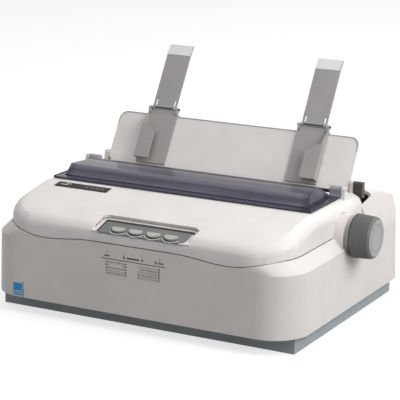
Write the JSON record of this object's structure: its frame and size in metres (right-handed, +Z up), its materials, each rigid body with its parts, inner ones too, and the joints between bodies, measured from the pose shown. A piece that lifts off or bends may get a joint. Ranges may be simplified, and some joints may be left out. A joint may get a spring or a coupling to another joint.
{
  "type": "dot matrix printer",
  "caption": "Desktop dot matrix printer with a hinged smoked cover, platen knob, button panel, upright paper tray and sliding guides with flip-up arms.",
  "frame": {"origin": "on the table under the platen axis, midway between the sides", "axes": "+X to the right along the platen, +Y to the rear, +Z up"},
  "size_m": [0.4274, 0.3023, 0.2808],
  "materials": {
    "housing_grey": "fine satin grain, warm light grey",
    "cover_white": "fine satin grain, warm white",
    "base_dark": "matt dark grey",
    "foot_rubber": "matt black",
    "steel": "plain bright steel",
    "smoked_plastic": "smoked, clear and glossy",
    "name_plate_dark": "bare dark plate",
    "label_blue": "bare blue label",
    "panel_grey": "satin film",
    "circuit_green": "circuit board",
    "button_white": "satin",
    "platen_rubber": "ground black rubber",
    "knob_grey": "satin dark grip with a grey face",
    "gear_white": "natural plastic",
    "motor_dark": "dark can",
    "carriage_black": "black",
    "ribbon_ink": "inked ribbon",
    "belt_rubber": "black toothed belt",
    "lever_dark": "dark grey",
    "tray_white": "satin warm white",
    "guide_grey": "satin mid grey",
    "pin_black": "black",
    "transformer_core": "laminated core",
    "socket_black": "black",
    "port_steel": "plated shell"
  },
  "bodies": {
    "housing": {"lower_case": "housing_grey", "base_pan": "base_dark", "rubber_feet": "foot_rubber", "case_screws": "steel", "top_cover": "cover_white", "lid_pin_left": "steel", "lid_pin_right": "steel", "nameplate": "name_plate_dark", "front_label": "label_blue", "panel_plate": "panel_grey", "panel_board": "circuit_green", "frame_left": "steel", "frame_right": "steel", "frame_floor": "steel", "platen_bushes": "gear_white", "idler_stud": "steel", "feed_motor": "motor_dark", "carriage_rod": "steel", "guide_rail": "steel", "ribbon_cartridge": "carriage_black", "ribbon": "ribbon_ink", "timing_belt": "belt_rubber", "drive_motor": "motor_dark", "belt_stud": "steel", "bail_pins": "steel", "lever_stud": "steel", "paper_chute": "carriage_black", "main_board": "circuit_green", "transformer": "transformer_core", "power_inlet": "socket_black", "power_switch": "socket_black", "data_port": "port_steel"},
    "smoked_cover": {"smoked_cover": "smoked_plastic"},
    "button_1": {"button_1": "button_white"},
    "button_2": {"button_2": "button_white"},
    "button_3": {"button_3": "button_white"},
    "button_4": {"button_4": "button_white"},
    "platen": {"platen_roller": "platen_rubber", "platen_shaft": "steel", "platen_knob": "knob_grey", "platen_gear": "gear_white"},
    "idler_gear": {"idler_gear": "gear_white"},
    "feed_pinion": {"feed_pinion": "steel"},
    "carriage": {"carriage": "carriage_black", "print_head": "carriage_black"},
    "drive_pulley": {"drive_pulley": "gear_white"},
    "belt_pulley": {"belt_pulley": "gear_white"},
    "paper_bail": {"paper_bail": "steel"},
    "bail_rollers": {"bail_rollers": "platen_rubber"},
    "release_lever": {"release_lever": "lever_dark"},
    "paper_tray": {"paper_tray": "tray_white"},
    "guide_left": {"guide_left": "guide_grey", "arm_pin_left": "pin_black"},
    "guide_right": {"guide_right": "guide_grey", "arm_pin_right": "pin_black"},
    "arm_left": {"arm_left": "guide_grey"},
    "arm_right": {"arm_right": "guide_grey"},
    "power_rocker": {"power_rocker": "socket_black"}
  },
  "joints": [
    {"name": "cover_hinge", "type": "hinge", "parent": "housing", "child": "smoked_cover", "pos_m": [0, 0.027, 0.1498], "axis": [-1, 0, 0], "range_deg": [0, 100]},
    {"name": "button_1_press", "type": "slide", "parent": "housing", "child": "button_1", "axis": [0, 0.2924, -0.9563], "range_m": [0, 0.0008], "stiffness_N_per_m": 300, "springref_m": -0.0003},
    {"name": "button_2_press", "type": "slide", "parent": "housing", "child": "button_2", "axis": [0, 0.2924, -0.9563], "range_m": [0, 0.0008], "stiffness_N_per_m": 300, "springref_m": -0.0003},
    {"name": "button_3_press", "type": "slide", "parent": "housing", "child": "button_3", "axis": [0, 0.2924, -0.9563], "range_m": [0, 0.0008], "stiffness_N_per_m": 300, "springref_m": -0.0003},
    {"name": "button_4_press", "type": "slide", "parent": "housing", "child": "button_4", "axis": [0, 0.2924, -0.9563], "range_m": [0, 0.0008], "stiffness_N_per_m": 300, "springref_m": -0.0003},
    {"name": "platen_turn", "type": "hinge", "parent": "housing", "child": "platen", "pos_m": [0, 0, 0.1055], "axis": [1, 0, 0], "continuous": true},
    {"name": "idler_turn", "type": "hinge", "parent": "housing", "child": "idler_gear", "pos_m": [-0.1713, 0.0217, 0.07772], "axis": [1, 0, 0], "continuous": true},
    {"name": "pinion_turn", "type": "hinge", "parent": "housing", "child": "feed_pinion", "pos_m": [-0.1713, 0.02668, 0.05913], "axis": [1, 0, 0], "continuous": true},
    {"name": "carriage_slide", "type": "slide", "parent": "housing", "child": "carriage", "axis": [1, 0, 0], "range_m": [-0.105, 0.105]},
    {"name": "drive_pulley_turn", "type": "hinge", "parent": "housing", "child": "drive_pulley", "pos_m": [-0.148, -0.058, 0.058], "axis": [0, 0, 1], "continuous": true},
    {"name": "belt_pulley_turn", "type": "hinge", "parent": "housing", "child": "belt_pulley", "pos_m": [0.148, -0.058, 0.058], "axis": [0, 0, 1], "continuous": true},
    {"name": "bail_lift", "type": "hinge", "parent": "housing", "child": "paper_bail", "pos_m": [0, 0.024, 0.112], "axis": [-1, 0, 0], "range_deg": [0, 15]},
    {"name": "bail_roller_turn", "type": "hinge", "parent": "paper_bail", "child": "bail_rollers", "pos_m": [0, -0.01115, 0.12481], "axis": [1, 0, 0], "continuous": true},
    {"name": "release_lever_tilt", "type": "hinge", "parent": "housing", "child": "release_lever", "pos_m": [0.172, 0.063, 0.097], "axis": [-1, 0, 0], "range_deg": [0, 20]},
    {"name": "tray_tilt", "type": "hinge", "parent": "housing", "child": "paper_tray", "pos_m": [0, 0.064, 0.149], "axis": [-1, 0, 0], "range_deg": [0, 50]},
    {"name": "guide_left_slide", "type": "slide", "parent": "paper_tray", "child": "guide_left", "axis": [1, 0, 0], "range_m": [0, 0.06]},
    {"name": "guide_right_slide", "type": "slide", "parent": "paper_tray", "child": "guide_right", "axis": [-1, 0, 0], "range_m": [0, 0.06]},
    {"name": "arm_left_fold", "type": "hinge", "parent": "guide_left", "child": "arm_left", "pos_m": [-0.124, 0.09376, 0.20657], "axis": [-1, 0, 0], "range_deg": [-150, 0]},
    {"name": "arm_right_fold", "type": "hinge", "parent": "guide_right", "child": "arm_right", "pos_m": [0.124, 0.09376, 0.20657], "axis": [-1, 0, 0], "range_deg": [-150, 0]},
    {"name": "rocker_tilt", "type": "hinge", "parent": "housing", "child": "power_rocker", "pos_m": [-0.126, 0.1345, 0.035], "axis": [-1, 0, 0], "range_deg": [0, 14]}
  ],
  "couplings": [
    {"joint": "idler_turn", "follows": "platen_turn", "ratio": -1.6923},
    {"joint": "pinion_turn", "follows": "platen_turn", "ratio": 3.6667},
    {"joint": "drive_pulley_turn", "follows": "carriage_slide", "rad_per_m": -116.28},
    {"joint": "belt_pulley_turn", "follows": "carriage_slide", "rad_per_m": -116.28}
  ]
}
